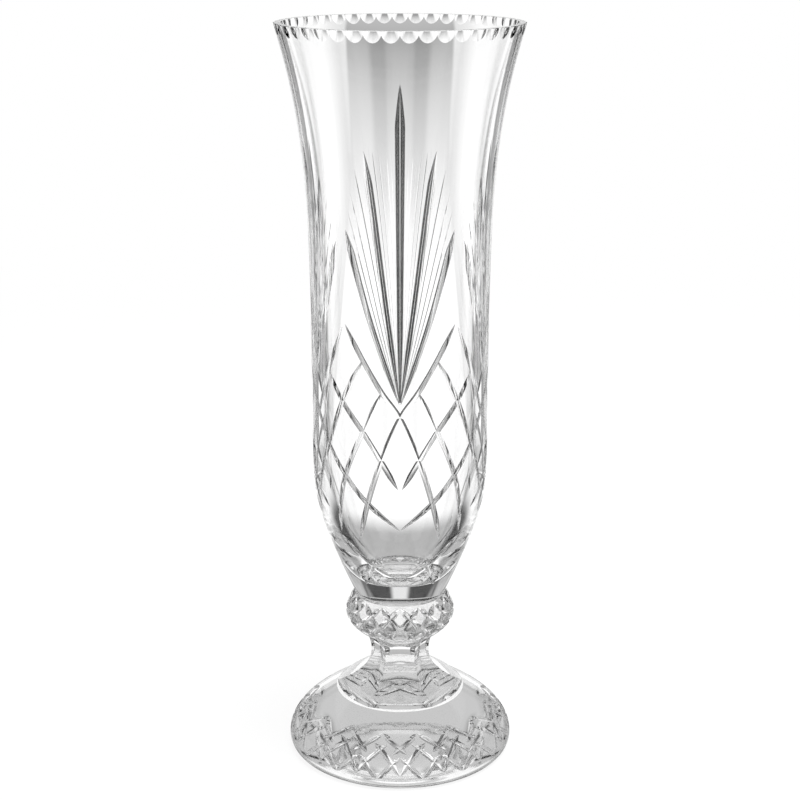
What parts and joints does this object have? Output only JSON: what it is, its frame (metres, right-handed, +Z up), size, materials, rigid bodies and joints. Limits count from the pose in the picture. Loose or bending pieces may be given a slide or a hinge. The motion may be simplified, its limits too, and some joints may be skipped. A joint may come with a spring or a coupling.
{
  "type": "footed vase",
  "caption": "Tall cut crystal vase: flared bowl with a scalloped rim, cut fans and a cut lattice, on a diamond-cut knop, a panelled stem and a domed cut foot.",
  "frame": {"origin": "centre of the foot's resting ring, on the surface the vase stands on", "axes": "+Z up along the vase's axis, -Y towards the front, where a cut fan stands in the middle, +X to the right as seen from the front"},
  "size_m": [0.114, 0.1139, 0.356],
  "materials": {
    "crystal": "polished, clear and colourless",
    "bond": "clear film between ground faces"
  },
  "bodies": {
    "root": {"foot": "crystal", "stem_bond": "bond", "stem": "crystal", "knop_bond": "bond", "knop": "crystal", "bowl_bond": "bond", "bowl": "crystal"}
  },
  "joints": []
}
